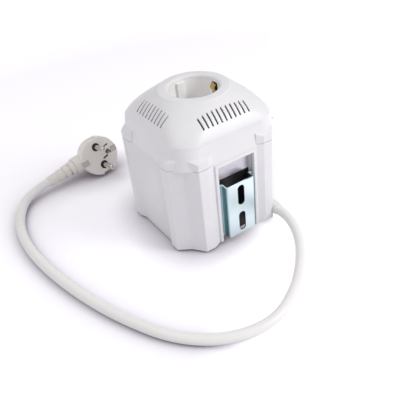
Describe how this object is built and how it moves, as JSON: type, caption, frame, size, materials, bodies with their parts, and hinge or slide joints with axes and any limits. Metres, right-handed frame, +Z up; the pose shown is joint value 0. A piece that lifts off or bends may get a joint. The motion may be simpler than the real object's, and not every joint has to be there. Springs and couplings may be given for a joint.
{
  "type": "voltage stabilizer",
  "caption": "Small square relay voltage stabilizer with fluted corner columns, a domed vented cover around an earthed outlet, a rail bracket and a mains lead with an angled plug.",
  "frame": {"origin": "on the surface the feet stand on, under the middle of the box with its bracket, 1.35 mm in front of the outlet's axis", "axes": "+Z up through the outlet, the bracket wall faces -Y, the mains lead leaves at the +X -Y corner"},
  "size_m": [0.1989, 0.2766, 0.1144],
  "materials": {
    "white_plastic": "satin moulded, bright white",
    "outlet_plastic": "gloss moulded white",
    "foot_rubber": "matt",
    "screw_steel": "zinc plated",
    "brass": "satin",
    "carrier_plastic": "matt, heat proof",
    "core_steel": "varnished laminations",
    "bobbin_plastic": "matt",
    "winding_wrap": "yellow polyester tape over copper",
    "zinc_steel": "bright bluish zinc plate",
    "board_laminate": "green solder mask",
    "relay_plastic": "gloss moulded",
    "capacitor_sleeve": "shrink sleeve",
    "fuse_glass": "clear with nickel caps",
    "terminal_plastic": "matt moulded",
    "chip_plastic": "matt",
    "cord_sheath": "white extruded PVC, slight sheen",
    "brown_wire": "extruded",
    "blue_wire": "extruded",
    "green_wire": "extruded, with a yellow stripe",
    "red_wire": "extruded",
    "plate_foil": "satin foil, blank",
    "relief_rubber": "matt white",
    "plug_rubber": "matt warm white",
    "nickel_plate": "nickel plated brass"
  },
  "bodies": {
    "housing": {"lower_housing": "white_plastic", "top_cover": "white_plastic", "rubber_feet": "foot_rubber", "housing_screws": "screw_steel", "socket_well": "outlet_plastic", "earth_strap": "brass", "contact_carrier": "carrier_plastic", "outlet_screws": "screw_steel", "live_contact": "brass", "neutral_contact": "brass", "transformer_core": "core_steel", "coil_bobbin": "bobbin_plastic", "coil_winding": "winding_wrap", "transformer_frame": "zinc_steel", "frame_screws": "screw_steel", "circuit_board": "board_laminate", "board_screws": "screw_steel", "relays": "relay_plastic", "capacitors": "capacitor_sleeve", "fuse": "fuse_glass", "terminal_block": "terminal_plastic", "control_chip": "chip_plastic", "cord_tail": "cord_sheath", "cord_clamp": "bobbin_plastic", "live_wire": "brown_wire", "neutral_wire": "blue_wire", "earth_wire": "green_wire", "live_output_wire": "brown_wire", "neutral_output_wire": "blue_wire", "coil_taps": "red_wire", "rating_plate": "plate_foil", "strain_relief": "relief_rubber", "mains_cord": "cord_sheath", "plug_body": "plug_rubber", "plug_boot": "plug_rubber", "plug_pins": "nickel_plate", "plug_earth_strips": "nickel_plate"},
    "rail": {"rail_bracket": "zinc_steel"}
  },
  "joints": [
    {"name": "rail_slide", "type": "slide", "parent": "housing", "child": "rail", "axis": [0, 0, 1], "range_m": [-0.04, 0.017]}
  ]
}
